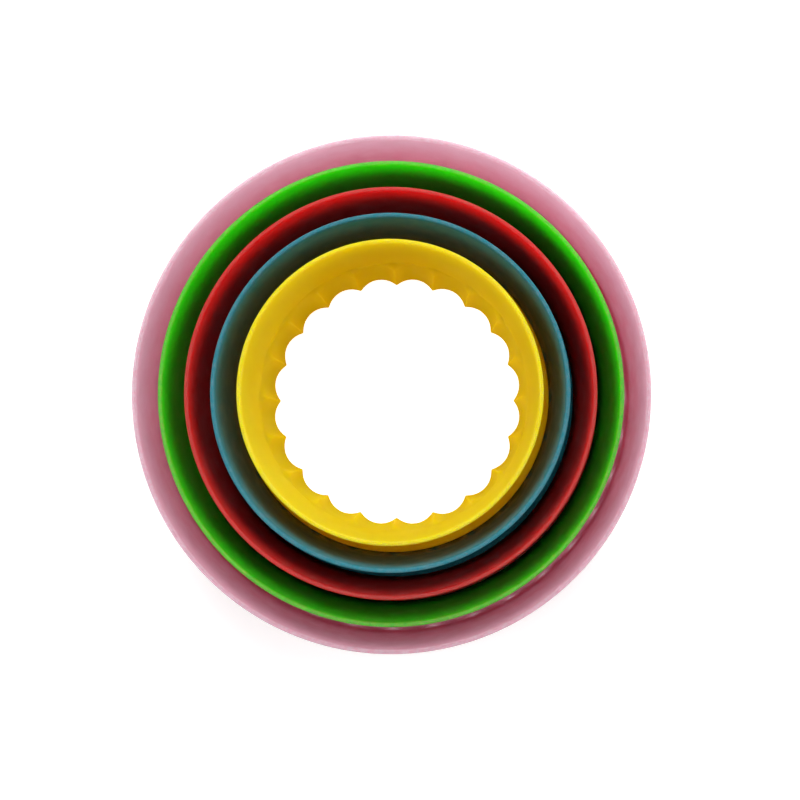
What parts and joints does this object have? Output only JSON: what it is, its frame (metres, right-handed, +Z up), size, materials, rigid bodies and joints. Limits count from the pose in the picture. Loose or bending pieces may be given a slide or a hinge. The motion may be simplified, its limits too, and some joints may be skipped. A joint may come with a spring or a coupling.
{
  "type": "nesting round cutter set",
  "caption": "Round open cutter rings, plain edge above and fluted edge below, with a press flange between, nested one inside another on one axis.",
  "frame": {"origin": "on the common axis, at the level of the fluted edges that the set stands on", "axes": "+Z up along the common axis, from the fluted edges to the plain rims; +X through one cusp of every fluted skirt"},
  "size_m": [0.1044, 0.1044, 0.04],
  "materials": {
    "pink_plastic": "semi-gloss moulded polypropylene, lets light through",
    "green_plastic": "semi-gloss moulded polypropylene",
    "red_plastic": "semi-gloss moulded polypropylene",
    "blue_plastic": "semi-gloss moulded polypropylene",
    "yellow_plastic": "semi-gloss moulded polypropylene, lets some light through"
  },
  "bodies": {
    "ring_98": {"ring_98_pink": "pink_plastic"},
    "ring_88": {"ring_88_green": "green_plastic"},
    "ring_78": {"ring_78_red": "red_plastic"},
    "ring_68": {"ring_68_blue": "blue_plastic"},
    "ring_58": {"ring_58_yellow": "yellow_plastic"}
  },
  "joints": [
    {"name": "ring_88_lift", "type": "slide", "parent": "ring_98", "child": "ring_88", "axis": [0, 0, 1], "range_m": [0, 0.05]},
    {"name": "ring_78_lift", "type": "slide", "parent": "ring_88", "child": "ring_78", "axis": [0, 0, 1], "range_m": [0, 0.05]},
    {"name": "ring_68_lift", "type": "slide", "parent": "ring_78", "child": "ring_68", "axis": [0, 0, 1], "range_m": [0, 0.05]},
    {"name": "ring_58_lift", "type": "slide", "parent": "ring_68", "child": "ring_58", "axis": [0, 0, 1], "range_m": [0, 0.05]}
  ]
}
